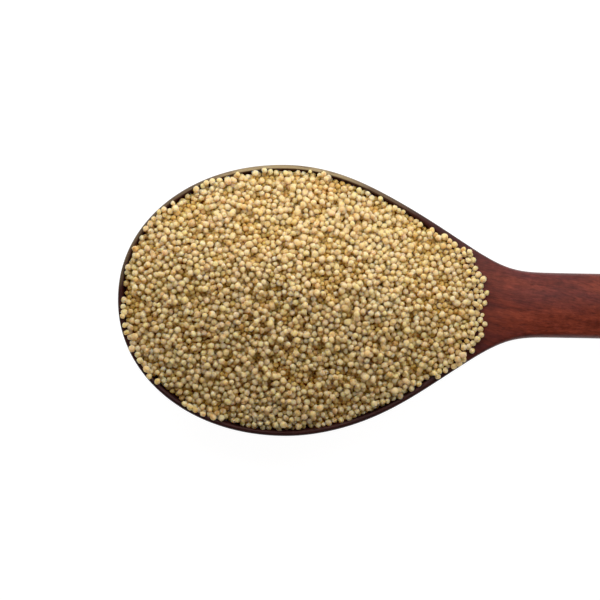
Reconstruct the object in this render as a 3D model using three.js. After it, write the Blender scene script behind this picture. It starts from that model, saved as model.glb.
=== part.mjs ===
// A carved wooden serving spoon lying on a table, its bowl heaped with small round millet.
//
// Millimetres, +Z up. The origin is on the table, under the widest place of the bowl, at the middle of
// the flat spot that the bowl rests on. The handle runs along +X, and the rim lies level.
//
// Both solids are skinned over cross-sections taken along X. Each section is a closed loop, worked out
// from the outline seen from above, from the side profile, and from the curve of the bowl across it.
// A pair of places such as NECK gives the two values of x between which something changes.

import * as THREE from 'three';
import { mergeVertices } from 'three/addons/utils/BufferGeometryUtils.js';

// Outline, seen from above
const BOWL_HALF_WIDTH = 36;
const BOWL_FRONT = 44.2;          // widest place to the front tip
const BOWL_BACK = 79;             // where the bowl's flanks would meet if there were no handle
const FRONT_POWER = 2.06;         // 2 would be an ellipse
const FLANK_POWER = 1.82;         // how hollow the flanks are as they run to the neck
const FLANK_BULGE = 0.45;         // the knife left one flank this much fuller
const FLANK_BULGE_MIDDLE = 29;
const FLANK_BULGE_REACH = 14;
const NECK = [42, 76];            // the bowl's edge and section turn into the handle's
const NECK_BLEND = 4;             // how quickly the flanks turn into the handle
const HANDLE_ROOT = [0, 20];      // the handle's width begins inside the bowl
const HANDLE_WAIST = 8.65;        // half the handle's width just past the neck
const HANDLE_WIDEST = 10.4;       // half its width near the end
const HANDLE_WIDENS = [78, 165];
const HANDLE_END = 184;           // widest place of the bowl to the handle's end
const HANDLE_END_ROUND = 13;      // length of the rounded end
const HANDLE_END_POWERS = [2.2, 2.2];

// Side profile
const RIM_Z = 23;                 // the rim above the table
const BOWL_DROP = 23.2;           // underside below the rim's edge, before the flat spot is taken off
const UNDERSIDE_BACK = 66;        // where the bowl's underside would come up to the rim
const UNDERSIDE_RISE = 1.25;      // how hollow it is as it comes up
const UNDERSIDE_BLEND = 3;        // how quickly it turns into the handle's underside
const HANDLE_DEEPENS = [0, 40];
const HANDLE_THICKNESS = 8.6;
const HANDLE_FALL = [56, 168];    // the handle sinks from the rim's level
const HANDLE_END_TOP = 7.4;       // the handle's top at its end, which lies on the table
const HANDLE_END_TURN = 7.8;      // length over which its underside comes up at the end
const HANDLE_CROWN = 1.6;         // the handle's middle stands this much over its edges
const HANDLE_CROWN_START = 60;
const HANDLE_CROWN_POWERS = [8, 2];

// Edges, outer to inner
const RIM_ROUND = 0.8;            // the rounding's width seen from above
const RIM_ROUND_DROP = 1;         // and its height
const RIM_WALL = 1.15;            // outer edge to inner edge
const RIM_WALL_BACK = 1.12;       // times as wide along the flanks
const HANDLE_ROUND = 1.9;
const HANDLE_ROUND_DROP = 2.6;
const END_ROUND = 1.5;            // times as long at the front tip and at the handle's end
const INNER_EDGE_ROUND = 0.4;     // radius of the edge between the rim and the hollow
const SHOULDER_ROUND = 1.4;       // and of the edge between the hollow and the neck
const SHOULDER = [34, 48];        // the one turns into the other

// Hollow and underside: [flatness, steepness] of their curves
const HOLLOW_DEPTH = 19;
const HOLLOW_BACK = 50;           // widest place to where the hollow ends at the neck
const HOLLOW_BACK_POWER = 10;     // how bluntly it ends there
const HOLLOW_POWERS = [2.5, 1.6];
const UNDERSIDE_POWERS = [2.2, 1.5];
const HANDLE_POWERS = [2.8, 2.1];

// Heap of millet
const HEAP_GAP = 0.45;            // it stands this far off the wood
const HEAP_HEIGHT = 14;           // its crest over its own edge
const HEAP_EDGE_DEPTH = 0.4;      // its edge below the rim at its two ends
const HEAP_EDGE_SAG = 0.5;        // how much lower the edge is between them
const HEAP_EDGE_TILT = 0.3;       // more on one side and less on the other
const HEAP_EDGE_WAVER = 0.3;
const HEAP_EDGE_WAVE = 4.1;
const HEAP_WAVER_REACH = 40;
const HEAP_MIDDLE = 3;
const HEAP_FRONT = 46;            // its crest runs out this far before its middle
const HEAP_BACK = 48;             // and behind it
const HEAP_LENGTH_POWERS = [1.9, 1.1];
const HEAP_ROOF_ROUND = 0.22;     // how round its crest is, as a share of its half width
const HEAP_BELLY = 0.82;          // power that makes the slope on one side of the crest bulge
const HEAP_CREST = [-30, 45];     // the crest comes towards the middle line
const HEAP_CREST_SHIFT = [0.27, 0.06];
const HEAP_LUMP = 0.4;
const HEAP_LUMP_SIZE = 4.6;

// Fineness of the mesh
const FRONT_STEPS = 15;
const BOWL_STEPS = 15;
const HANDLE_STEPS = 22;
const END_STEPS = 7;
const ROUND_STEPS = 2;
const HOLLOW_STEPS = 8;
const UNDERSIDE_STEPS = 8;
const HEAP_STEPS = 34;
const HEAP_COLUMNS = 11;
const LEAST_TOP_SHARE = 0.35;     // the top's inner columns keep this share of the handle's width
const TINY = 1e-7;

const WOOD_COLOUR = 0x5a2b25;
const WOOD_ROUGHNESS = 0.45;
const MILLET_COLOUR = 0xc9a869;
const MILLET_ROUGHNESS = 0.75;

// ---- Curves ----

const QUARTER_TURN = Math.PI / 2;
const clamp01 = (t) => Math.min(1, Math.max(0, t));
const mix = (a, b, t) => a + (b - a) * t;

// 0 before place a, 1 after place b, smooth in between.
function ease(x, [a, b]) {
  const t = clamp01((x - a) / (b - a));
  return t * t * (3 - 2 * t);
}

// The height of a hump over t from -1 to 1: 1 in the middle, 0 at both ends.
function hump(t, [flatness, steepness]) {
  return (1 - clamp01(Math.abs(t)) ** flatness) ** (1 / steepness);
}

// A roof over t from -1 to 1 with straight sides and a rounded ridge: 1 in the middle, 0 at the eaves.
function roof(t, roundness) {
  const eaves = Math.hypot(1, roundness);
  return (eaves - Math.hypot(Math.min(1, Math.abs(t)), roundness)) / (eaves - roundness);
}

// How far an edge rounded over length r has risen at distance d from its end: a quarter circle, 0 to 1.
function quarterRound(d, r) {
  const t = 1 - clamp01(d / r);
  return Math.sqrt(1 - t * t);
}

// The larger of two heights or widths, with a soft corner where they cross.
function softMax(a, b, sharpness) {
  return (a ** sharpness + b ** sharpness) ** (1 / sharpness);
}

// ---- Spoon: outline and side profile ----

const neckShare = (x) => ease(x, NECK);
const centreLine = (x) => -FLANK_BULGE * Math.exp(-(((x - FLANK_BULGE_MIDDLE) / FLANK_BULGE_REACH) ** 2));
const boardTop = (x) => mix(RIM_Z, HANDLE_END_TOP, ease(x, HANDLE_FALL));

function handleHalfWidth(x) {
  const full = mix(HANDLE_WAIST, HANDLE_WIDEST, ease(x, HANDLE_WIDENS)) * ease(x, HANDLE_ROOT);
  const intoEnd = (x - (HANDLE_END - HANDLE_END_ROUND)) / HANDLE_END_ROUND;
  return full * hump(Math.max(0, intoEnd), HANDLE_END_POWERS);
}

function halfWidth(x) {
  if (x <= 0) return BOWL_HALF_WIDTH * hump(x / BOWL_FRONT, [FRONT_POWER, FRONT_POWER]);
  const flank = BOWL_HALF_WIDTH * (1 - clamp01(x / BOWL_BACK) ** 2) ** FLANK_POWER;
  return softMax(flank, handleHalfWidth(x), NECK_BLEND);
}

// The edge is rounded over this width and drop, and its widest line lies that drop under the top.
const edgeRound = (x) => Math.min(mix(RIM_ROUND, HANDLE_ROUND, neckShare(x)), halfWidth(x) / 2);
const edgeDrop = (x) => mix(RIM_ROUND_DROP, HANDLE_ROUND_DROP, neckShare(x));
const edgeLine = (x) => boardTop(x) - edgeDrop(x);

// At both ends of the spoon the top comes down to the edge line in the same rounding.
function topLine(x) {
  const round = mix(RIM_ROUND, HANDLE_ROUND, neckShare(x)) * END_ROUND;
  const fromEnd = Math.min(x + BOWL_FRONT, HANDLE_END - x);
  return edgeLine(x) + edgeDrop(x) * quarterRound(fromEnd, round);
}

// The handle's top swells between its edges.
function crown(x, y) {
  if (halfWidth(x) < TINY) return 0;
  const along = (x - HANDLE_CROWN_START) / (HANDLE_END - HANDLE_CROWN_START);
  const height = HANDLE_CROWN * neckShare(x) * hump(Math.max(0, along), HANDLE_CROWN_POWERS);
  return height * (1 - (y / halfWidth(x)) ** 2);
}

// Depth of the underside below the edge line, along the middle of the spoon.
function undersideDrop(x) {
  if (x <= 0) return BOWL_DROP * hump(x / BOWL_FRONT, UNDERSIDE_POWERS);
  const bowl = BOWL_DROP * (1 - clamp01(x / UNDERSIDE_BACK) ** 2) ** UNDERSIDE_RISE;
  const handle = (HANDLE_THICKNESS - HANDLE_ROUND_DROP) * ease(x, HANDLE_DEEPENS)
    * quarterRound(HANDLE_END - x, HANDLE_END_TURN);
  return softMax(bowl, handle, UNDERSIDE_BLEND);
}

// ---- Hollow of the bowl. gap shrinks it evenly, for what lies in it. ----

function hollowHalfWidth(x, gap = 0) {
  const inset = RIM_WALL + gap;
  if (x <= 0) {
    return (BOWL_HALF_WIDTH - inset) * hump(x / (BOWL_FRONT - inset), [FRONT_POWER, FRONT_POWER]);
  }
  const blunt = Math.sqrt(1 - clamp01(x / (HOLLOW_BACK - gap)) ** HOLLOW_BACK_POWER);
  return Math.max(0, halfWidth(x) - inset * mix(1, RIM_WALL_BACK, ease(x, HANDLE_ROOT))) * blunt;
}

function hollowDepthAlong(x, gap = 0) {
  const length = x <= 0 ? BOWL_FRONT - RIM_WALL - gap : HOLLOW_BACK - gap;
  return (HOLLOW_DEPTH - gap) * hump(x / length, HOLLOW_POWERS);
}

function hollowDepth(x, y, gap = 0) {
  const half = hollowHalfWidth(x, gap);
  return half > 0 ? hollowDepthAlong(x, gap) * hump(y / half, HOLLOW_POWERS) : 0;
}

// The hollow's edge is rounded: a depth d becomes hypot(d, r) - r, where r is the rounding's radius.
const innerRound = (x) => mix(INNER_EDGE_ROUND, SHOULDER_ROUND, ease(x, SHOULDER));
const rounded = (depth, r) => Math.hypot(depth, r) - r;
const unrounded = (depth, r) => Math.sqrt((depth + r) ** 2 - r * r);

// Height of the wood's upper surface.
function woodTop(x, y, gap = 0) {
  return topLine(x) + crown(x, y) - rounded(hollowDepth(x, y, gap), innerRound(x));
}

// ---- Heap of millet ----

// Slow lumps left where the millet slid, from -1 to 1: two trains of waves, one bent by the other.
function lumps(x, y) {
  const [u, v] = [x / HEAP_LUMP_SIZE, y / HEAP_LUMP_SIZE];
  return (Math.sin(u + Math.sin(v / 2)) + Math.sin(v - u / 2)) / 2;
}

// The heap's edge lies this far below the rim. side is -1 or 1, the side of the spoon.
function heapEdgeDepth(x, side) {
  const waver = HEAP_EDGE_WAVER * Math.sin(x / HEAP_EDGE_WAVE + 2 * side);
  const sag = HEAP_EDGE_SAG - HEAP_EDGE_TILT * side + waver;
  return HEAP_EDGE_DEPTH + sag * hump((x - HEAP_MIDDLE) / HEAP_WAVER_REACH, HEAP_LENGTH_POWERS);
}

// How far across or along a hollow of this depth is still as deep as the heap's edge, as a share.
function shareAtDepth(edgeDepth, depth) {
  const [flatness, steepness] = HOLLOW_POWERS;
  return (1 - clamp01(edgeDepth / Math.max(TINY, depth)) ** steepness) ** (1 / flatness);
}

function heapHalfWidth(x, side) {
  const edge = unrounded(heapEdgeDepth(x, side), innerRound(x));
  return hollowHalfWidth(x, HEAP_GAP) * shareAtDepth(edge, hollowDepthAlong(x, HEAP_GAP));
}

// The heap's end along X, in the direction -1 or 1.
function heapReach(direction) {
  const [length, round] = direction < 0
    ? [BOWL_FRONT - RIM_WALL - HEAP_GAP, INNER_EDGE_ROUND]
    : [HOLLOW_BACK - HEAP_GAP, SHOULDER_ROUND];
  return direction * length * shareAtDepth(unrounded(HEAP_EDGE_DEPTH, round), HOLLOW_DEPTH - HEAP_GAP);
}

// Height of the heap's top. share runs from -1 to 1 across it. The crest lies towards +Y at the front of
// the bowl, and comes to the middle at the neck. The slope on its -Y side bulges.
function heapTop(x, y, share) {
  const crest = mix(...HEAP_CREST_SHIFT, ease(x, HEAP_CREST));
  const slope = roof((share - crest) / (1 - crest * Math.sign(share - crest)), HEAP_ROOF_ROUND);
  const across = share < crest ? slope ** HEAP_BELLY : slope;
  const length = x < HEAP_MIDDLE ? HEAP_FRONT : HEAP_BACK;
  const along = hump((x - HEAP_MIDDLE) / length, HEAP_LENGTH_POWERS);
  const edge = mix(heapEdgeDepth(x, -1), heapEdgeDepth(x, 1), (share + 1) / 2);
  const bump = HEAP_LUMP * lumps(x, y) * (1 - share ** 4);
  return topLine(x) + crown(x, y) - edge + along * (HEAP_HEIGHT * across + bump);
}

// ---- Skinning ----

// Joins loops of points into one closed surface. The first and the last loop are each a single point.
function skin(loops) {
  const corners = [];
  const triangle = (a, b, c) => {
    const area = b.clone().sub(a).cross(c.clone().sub(a)).length();
    if (area > TINY) corners.push(...a, ...b, ...c);
  };
  for (let i = 0; i + 1 < loops.length; i++) {
    const [near, far] = [loops[i], loops[i + 1]];
    for (let j = 0; j < near.length; j++) {
      const next = (j + 1) % near.length;
      triangle(near[j], near[next], far[next]);
      triangle(near[j], far[next], far[j]);
    }
  }
  const geometry = new THREE.BufferGeometry();
  geometry.setAttribute('position', new THREE.Float32BufferAttribute(corners, 3));
  const closed = mergeVertices(geometry, 1e-4);
  closed.computeVertexNormals();
  return closed;
}

// Places from a to b, evenly spaced, or crowded at a or at b where the surface turns sharply.
function places(a, b, steps, crowded = 'nowhere') {
  const spacing = {
    nowhere: (t) => t,
    first: (t) => 1 - Math.cos(t * QUARTER_TURN),
    last: (t) => Math.sin(t * QUARTER_TURN),
  }[crowded];
  return Array.from({ length: steps + 1 }, (_, i) => mix(a, b, spacing(i / steps)));
}

// ---- The two solids ----

// Half of the spoon's section as [y, z], from the middle of the top, out over the edge, to the middle below.
function spoonHalfSection(x) {
  const half = halfWidth(x);
  const round = edgeRound(x);
  const flat = half - round;
  const inner = Math.max(hollowHalfWidth(x), flat * LEAST_TOP_SHARE);
  const section = places(0, inner, HOLLOW_STEPS, 'last').map((y) => [y, woodTop(x, y)]);
  for (let i = ROUND_STEPS; i >= 0; i--) {
    const turn = i / ROUND_STEPS * QUARTER_TURN;
    section.push([flat + round * Math.cos(turn), mix(edgeLine(x), woodTop(x, flat), Math.sin(turn))]);
  }
  const powers = UNDERSIDE_POWERS.map((p, i) => mix(p, HANDLE_POWERS[i], neckShare(x)));
  for (let i = 1; i <= UNDERSIDE_STEPS; i++) {
    const cosine = i === UNDERSIDE_STEPS ? 0 : Math.cos(i / UNDERSIDE_STEPS * QUARTER_TURN);
    const share = cosine ** (2 / powers[0]);
    section.push([half * share, Math.max(0, edgeLine(x) - undersideDrop(x) * hump(share, powers))]);
  }
  return section;
}

function spoonGeometry() {
  const endStart = HANDLE_END - HANDLE_END_ROUND;
  const stations = [
    ...places(-BOWL_FRONT, 0, FRONT_STEPS, 'first'),
    ...places(0, HOLLOW_BACK, BOWL_STEPS, 'last').slice(1),
    ...places(HOLLOW_BACK, endStart, HANDLE_STEPS).slice(1),
    ...places(endStart, HANDLE_END, END_STEPS, 'last').slice(1),
  ];
  return skin(stations.map((x) => {
    const half = spoonHalfSection(x);
    const middle = centreLine(x);
    const near = half.map(([y, z]) => new THREE.Vector3(x, middle - y, z));
    const far = half.slice(1, -1).reverse().map(([y, z]) => new THREE.Vector3(x, middle + y, z));
    return [...near, ...far];
  }));
}

function heapGeometry() {
  const [front, back] = [heapReach(-1), heapReach(1)];
  const loops = places(0, Math.PI, HEAP_STEPS).map((turn, i) => {
    const x = mix(front, back, (1 - Math.cos(turn)) / 2);
    const ending = i === 0 || i === HEAP_STEPS;
    const [top, bottom] = [[], []];
    for (let j = -HEAP_COLUMNS; j <= HEAP_COLUMNS; j++) {
      const share = Math.sin(j / HEAP_COLUMNS * QUARTER_TURN);
      const y = ending ? 0 : share * heapHalfWidth(x, Math.sign(share) || 1);
      const below = woodTop(x, y, HEAP_GAP);
      const above = ending ? below : Math.max(below, heapTop(x, y, share));
      bottom.push(new THREE.Vector3(x, centreLine(x) + y, below));
      top.push(new THREE.Vector3(x, centreLine(x) + y, above));
    }
    return [...top.reverse(), ...bottom.slice(1, -1)];
  });
  return skin(loops);
}

function piece(name, geometry, colour, roughness) {
  const material = new THREE.MeshStandardMaterial({ color: colour, roughness, metalness: 0 });
  const mesh = new THREE.Mesh(geometry, material);
  mesh.name = name;
  return mesh;
}

const spoonOfMillet = new THREE.Group();
spoonOfMillet.name = 'spoon_of_millet';
spoonOfMillet.add(piece('spoon', spoonGeometry(), WOOD_COLOUR, WOOD_ROUGHNESS));
spoonOfMillet.add(piece('millet_heap', heapGeometry(), MILLET_COLOUR, MILLET_ROUGHNESS));

export default spoonOfMillet;
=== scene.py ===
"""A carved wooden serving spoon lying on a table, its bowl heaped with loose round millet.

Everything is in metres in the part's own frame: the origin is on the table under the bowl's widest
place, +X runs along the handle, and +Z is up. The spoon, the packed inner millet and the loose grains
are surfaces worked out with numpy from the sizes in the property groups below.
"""

import math

import bpy
import numpy as np
from bpy.props import FloatProperty, FloatVectorProperty, IntProperty, PointerProperty
from mathutils import Matrix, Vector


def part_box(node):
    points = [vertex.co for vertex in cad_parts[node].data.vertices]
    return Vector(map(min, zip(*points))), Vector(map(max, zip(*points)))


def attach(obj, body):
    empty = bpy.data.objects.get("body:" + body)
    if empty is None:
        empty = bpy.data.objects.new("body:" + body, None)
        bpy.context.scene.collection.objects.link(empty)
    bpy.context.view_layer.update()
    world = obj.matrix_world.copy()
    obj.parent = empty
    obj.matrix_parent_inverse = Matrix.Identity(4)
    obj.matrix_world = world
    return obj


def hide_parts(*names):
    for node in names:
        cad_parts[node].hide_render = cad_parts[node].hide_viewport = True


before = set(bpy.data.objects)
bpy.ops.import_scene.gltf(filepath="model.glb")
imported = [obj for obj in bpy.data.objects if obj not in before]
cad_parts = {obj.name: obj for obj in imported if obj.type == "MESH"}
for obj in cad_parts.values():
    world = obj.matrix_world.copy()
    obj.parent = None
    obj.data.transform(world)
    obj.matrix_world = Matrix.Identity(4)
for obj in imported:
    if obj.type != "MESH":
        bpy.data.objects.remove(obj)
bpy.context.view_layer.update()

bl_info = {
    "name": "Spoon of Millet",
    "version": (1, 0, 0),
    "blender": (4, 5, 0),
    "location": "3D View > Sidebar > Millet",
    "description": "Carves a wooden serving spoon and heaps it with loose grains of millet",
    "category": "Add Mesh",
}

MM = 0.001
BODY = "root"
SPOON_LOW, SPOON_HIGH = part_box("spoon")
_, HEAP_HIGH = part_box("millet_heap")

# Spoon: outline seen from above. A pair of places gives where along X something begins and ends.
FRONT_POWER = 2.06
FLANK_POWER = 1.82
FLANK_BULGE_MIDDLE, FLANK_BULGE_REACH = 29 * MM, 14 * MM
NECK = (42 * MM, 76 * MM)
NECK_BLEND = 4
HANDLE_ROOT = (0, 20 * MM)
HANDLE_WIDENS = (78 * MM, 165 * MM)
HANDLE_END_ROUND = 13 * MM
HANDLE_END_POWERS = (2.2, 2.2)

# Spoon: side profile
BOWL_DROP = 23.2 * MM
UNDERSIDE_BACK, UNDERSIDE_RISE, UNDERSIDE_BLEND = 66 * MM, 1.25, 3
HANDLE_DEEPENS = (0, 40 * MM)
HANDLE_FALL = (56 * MM, 168 * MM)
HANDLE_END_TOP, HANDLE_END_TURN = 7.4 * MM, 7.8 * MM
HANDLE_CROWN, HANDLE_CROWN_START, HANDLE_CROWN_POWERS = 1.6 * MM, 60 * MM, (8, 2)

# Spoon: edges and section curves
RIM_ROUND, RIM_ROUND_DROP, RIM_WALL_BACK = 0.8 * MM, 1.0 * MM, 1.12
HANDLE_ROUND, HANDLE_ROUND_DROP, END_ROUND = 1.9 * MM, 2.6 * MM, 1.5
HOLLOW_BACK_POWER = 10
HOLLOW_POWERS, UNDERSIDE_POWERS, HANDLE_POWERS = (2.5, 1.6), (2.2, 1.5), (2.8, 2.1)
INNER_EDGE_ROUND, SHOULDER_ROUND, SHOULDER = 0.4 * MM, 1.4 * MM, (34 * MM, 48 * MM)

# Heap
HEAP_EDGE_WAVER, HEAP_EDGE_WAVE, HEAP_WAVER_REACH = 0.45 * MM, 4.1 * MM, 40 * MM
HEAP_EDGE_SAG, HEAP_EDGE_TILT, HEAP_EDGE_PHASE = 1.2 * MM, 0.4 * MM, 2
HEAP_MIDDLE, HEAP_FRONT, HEAP_BACK, HEAP_LENGTH_POWERS = 3 * MM, 46 * MM, 48 * MM, (1.9, 1.1)
HEAP_ROOF_ROUND, HEAP_BELLIES = 0.22, (0.82, 0.9)
HEAP_CREST, HEAP_CREST_SHIFT = (-30 * MM, 45 * MM), (0.27, 0.06)
HEAP_LUMP, HEAP_LUMP_SIZE = 0.4 * MM, 4.6 * MM

# Clumps and pits all over the heap
CLUMP_HEIGHT, CLUMP_SIZES, CLUMP_WAVES, CLUMP_SEED = 0.6 * MM, (2.6 * MM, 6.5 * MM), 24, 3

# Millet spilled from the heap over the shoulder of the neck: its middle and its reach, each along X and Y
SPILL_MIDDLE, SPILL_REACH = (38 * MM, 0.4 * MM), (15.8 * MM, 21.4 * MM)
SPILL_HEIGHT, SPILL_POWERS = 3.0 * MM, (5, 2)

TINY = 1e-9                # keeps a division away from zero


def srgb(red, green, blue):
    """The linear values, which Blender mixes, of a colour given as screen values from 0 to 255.

    The curve is the sRGB standard's: a straight piece near black, and a power of 2.4 above it.
    """
    share = np.array([red, green, blue]) / 255
    return tuple(np.where(share <= 0.04045, share / 12.92, ((share + 0.055) / 1.055) ** 2.4))


def size(name, default, description):
    """A length that a user may change."""
    return FloatProperty(name=name, default=default, description=description, unit="LENGTH", precision=5)


def tint(name, default, description):
    """A colour that a user may change, with its default given as screen values."""
    return FloatVectorProperty(name=name, default=srgb(*default), description=description,
                               subtype="COLOR", size=3, min=0, max=1)


# ---- What a user would change ----

class SpoonSizes(bpy.types.PropertyGroup):
    bowl_half_width: size("Bowl half width", (SPOON_HIGH.y - SPOON_LOW.y) / 2, "Half the bowl's width")
    bowl_front: size("Bowl front", -SPOON_LOW.x, "From the widest place to the front tip")
    bowl_back: size("Bowl back", 79 * MM, "Where the flanks would meet if there were no handle")
    handle_waist: size("Handle waist", 8.65 * MM, "Half the handle's width just past the neck")
    handle_widest: size("Handle widest", 10.4 * MM, "Half the handle's width near its end")
    handle_end: size("Handle end", SPOON_HIGH.x, "From the bowl's widest place to the handle's end")
    handle_thickness: size("Handle thickness", 8.6 * MM, "The handle from its top to its underside")
    rim_height: size("Rim height", 23 * MM, "The rim above the table")
    rim_wall: size("Rim wall", 1.15 * MM, "The rim's width, from its outer to its inner edge")
    hollow_depth: size("Hollow depth", 19 * MM, "The bowl's depth below its rim")
    hollow_back: size("Hollow back", 50 * MM, "From the widest place to the hollow's end at the neck")
    flank_bulge: size("Flank bulge", 0.45 * MM, "How much fuller the knife left one flank")


class HeapSizes(bpy.types.PropertyGroup):
    height: size("Height", 11.5 * MM, "The crest over the heap's own edge")
    edge_depth: size("Edge depth", -0.85 * MM, "The heap's edge below the rim at the tip")
    gap: size("Gap", 0.35 * MM, "The packed inner millet stands this far off the wood")
    loose_depth: size("Loose depth", 3.1 * MM, "Thickness of the layer of loose grains")
    grain: size("Grain", 1.47 * MM, "Mean diameter of a grain")
    spread: FloatProperty(name="Spread", default=0.12, min=0, max=0.3, subtype="FACTOR",
                          description="How much the diameters differ, as a share of the mean")
    fill: FloatProperty(name="Fill", default=0.67, min=0.3, max=0.75, subtype="FACTOR",
                        description="Share of the loose layer's volume that is grain")
    shower: FloatProperty(name="Last shower", default=0.27, min=0, max=1, subtype="FACTOR",
                          description="Share of the heap that the grains lying on top of the others cover")
    settling: IntProperty(name="Settling", default=160, min=1,
                          description="Steps in which the grains settle")
    seed: IntProperty(name="Seed", default=7, min=0, description="Changes where the grains come to lie")


class Colours(bpy.types.PropertyGroup):
    wood_light: tint("Wood light", (120, 49, 33), "The paler bands of the wood")
    wood_mid: tint("Wood", (92, 33, 21), "The wood between its bands")
    wood_dark: tint("Wood dark", (72, 28, 29), "The darker zones of the wood")
    # painted shade: the bowl's wood is darker than the handle's, standing in for the shade on its rim and
    # inner wall
    bowl: tint("Bowl", (30, 17, 17), "The wood of the bowl, darker than the handle")
    # partly wear, partly a painted highlight: the pale outer edge of the rim, which only the lit +Y side gets
    worn_and_sheen: tint("Worn rim", (154, 134, 96), "The outer edge of the rim, where use has worn it")
    # painted shade: the packed inner millet is coloured a dark warm brown, not the grains' own colour, so
    # that the gaps between the loose grains look shaded
    shade: tint("Between grains", (146, 86, 30), "The packed inner millet, seen in the gaps")
    golden: tint("Golden grain", (226, 192, 139), "The commonest grains")
    cream: tint("Cream grain", (228, 199, 151), "The palest grains")
    green: tint("Greenish grain", (221, 193, 136), "Grains that were less ripe")
    rosy: tint("Rosy grain", (225, 190, 144), "Grains with a pink tinge")
    amber: tint("Amber grain", (212, 176, 116), "The darkest grains")


class StageSizes(bpy.types.PropertyGroup):
    pixel: size("Pixel", 0.265 * MM, "What one pixel of a 600 pixel picture spans at the rim")
    distance: size("Distance", 0.6, "From the camera to the rim")
    roll: FloatProperty(name="Roll", default=math.radians(1.05), subtype="ANGLE",
                        description="The spoon's turn in the picture")
    key: FloatProperty(name="Key light", default=0.365, min=0, unit="POWER",
                       description="Strength of the main light")
    side: FloatProperty(name="Side lights", default=0.25, min=0, unit="POWER",
                        description="Strength of the light at either side")
    room: FloatProperty(name="Room light", default=0.05, min=0,
                        description="Strength of the light from all around")


# ---- Curves ----

def mix(a, b, t):
    """a at t = 0, b at t = 1, and a straight line between them."""
    return a + (b - a) * t


def ease(x, between):
    """0 before the first place, 1 after the second, and 3tt - 2ttt at the share t of the way between."""
    t = np.clip((x - between[0]) / (between[1] - between[0]), 0, 1)
    return t * t * (3 - 2 * t)


def hump(t, powers):
    """(1 - |t|^flatness)^(1 / steepness): 1 in the middle and 0 at t = -1 and t = 1."""
    flatness, steepness = powers
    return (1 - np.clip(np.abs(t), 0, 1) ** flatness) ** (1 / steepness)


def roof(t, roundness):
    """A hyperbola, with straight sides and a rounded ridge: 1 in the middle and 0 at t = -1 and t = 1."""
    eaves = math.hypot(1, roundness)
    return (eaves - np.hypot(np.clip(np.abs(t), 0, 1), roundness)) / (eaves - roundness)


def quarter_round(d, r):
    """Height of a quarter circle of radius 1 at the share d / r of its width."""
    t = 1 - np.clip(d / r, 0, 1)
    return np.sqrt(1 - t * t)


def soft_max(a, b, sharpness):
    """The larger of two positive values with a soft corner: (a^p + b^p)^(1 / p)."""
    return (a ** sharpness + b ** sharpness) ** (1 / sharpness)


def crowded(a, b, steps, where="nowhere"):
    """Places from a to b, even, or crowded by a quarter of a sine wave at the first or the last."""
    t = np.linspace(0, 1, steps + 1)
    spacing = {"nowhere": t, "first": 1 - np.cos(t * np.pi / 2), "last": np.sin(t * np.pi / 2)}[where]
    return mix(a, b, spacing)


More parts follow.
